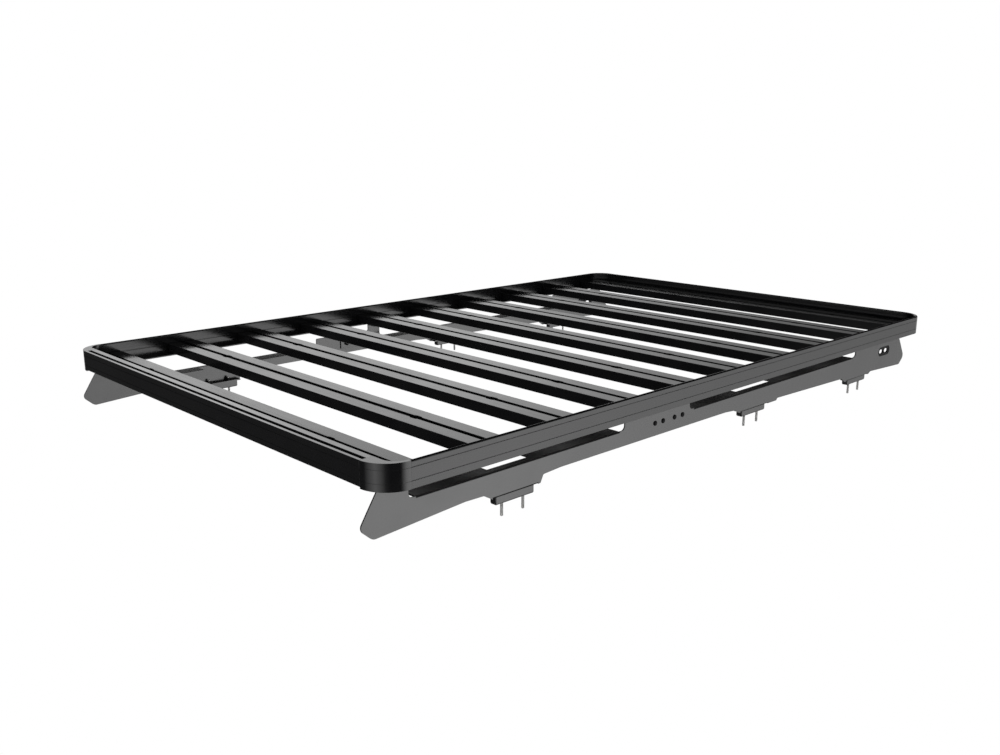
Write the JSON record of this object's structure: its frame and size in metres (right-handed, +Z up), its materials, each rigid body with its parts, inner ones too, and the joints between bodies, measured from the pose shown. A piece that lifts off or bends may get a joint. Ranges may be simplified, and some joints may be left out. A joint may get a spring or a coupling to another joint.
{
  "type": "roof cargo basket",
  "caption": "Flat slatted roof rack tray with a low lip, on two folded side rails that stand on stud-mounted feet.",
  "frame": {"origin": "under the middle of the rack, level with the tips of the lowest mounting studs", "axes": "+X towards the vehicle's front, along the length; +Y towards the vehicle's left side; +Z up"},
  "size_m": [1.9732, 1.246, 0.1895],
  "materials": {
    "frame_coat": "satin black fine-grain powder coat over extruded aluminium",
    "slat_coat": "satin black fine-grain powder coat over extruded aluminium, brushed along the slat by use",
    "rail_coat": "satin black powder coat over laser-cut folded steel sheet",
    "spacer_coat": "black powder coat over machined aluminium",
    "gasket_rubber": "matt black rubber",
    "zinc_steel": "bright stainless steel",
    "black_steel": "black zinc-plated steel",
    "insert_plastic": "moulded black plastic"
  },
  "bodies": {
    "root": {"front_profile": "frame_coat", "rear_profile": "frame_coat", "side_profile_left": "frame_coat", "side_profile_right": "frame_coat", "corner_front_left": "frame_coat", "corner_front_right": "frame_coat", "corner_rear_left": "frame_coat", "corner_rear_right": "frame_coat", "slat_01": "slat_coat", "slat_02": "slat_coat", "slat_03": "slat_coat", "slat_04": "slat_coat", "slat_05": "slat_coat", "slat_06": "slat_coat", "slat_07": "slat_coat", "slat_08": "slat_coat", "slat_09": "slat_coat", "slat_10": "slat_coat", "rail_front_left": "rail_coat", "rail_front_right": "rail_coat", "rail_rear_left": "rail_coat", "rail_rear_right": "rail_coat", "splice_plate_left": "rail_coat", "splice_plate_right": "rail_coat", "foot_spacer_front_left": "spacer_coat", "foot_spacer_middle_left": "spacer_coat", "foot_spacer_rear_left": "spacer_coat", "foot_spacer_front_right": "spacer_coat", "foot_spacer_middle_right": "spacer_coat", "foot_spacer_rear_right": "spacer_coat", "foot_gaskets": "gasket_rubber", "foot_studs": "zinc_steel", "slat_tee_nuts": "zinc_steel", "rail_tee_nuts": "zinc_steel", "foot_nuts": "black_steel", "foot_washers": "black_steel", "splice_bolts": "black_steel", "splice_nuts": "black_steel", "slat_bolts": "black_steel", "rail_bolts": "black_steel", "corner_screws": "black_steel", "emblem_inserts": "insert_plastic"}
  },
  "joints": []
}
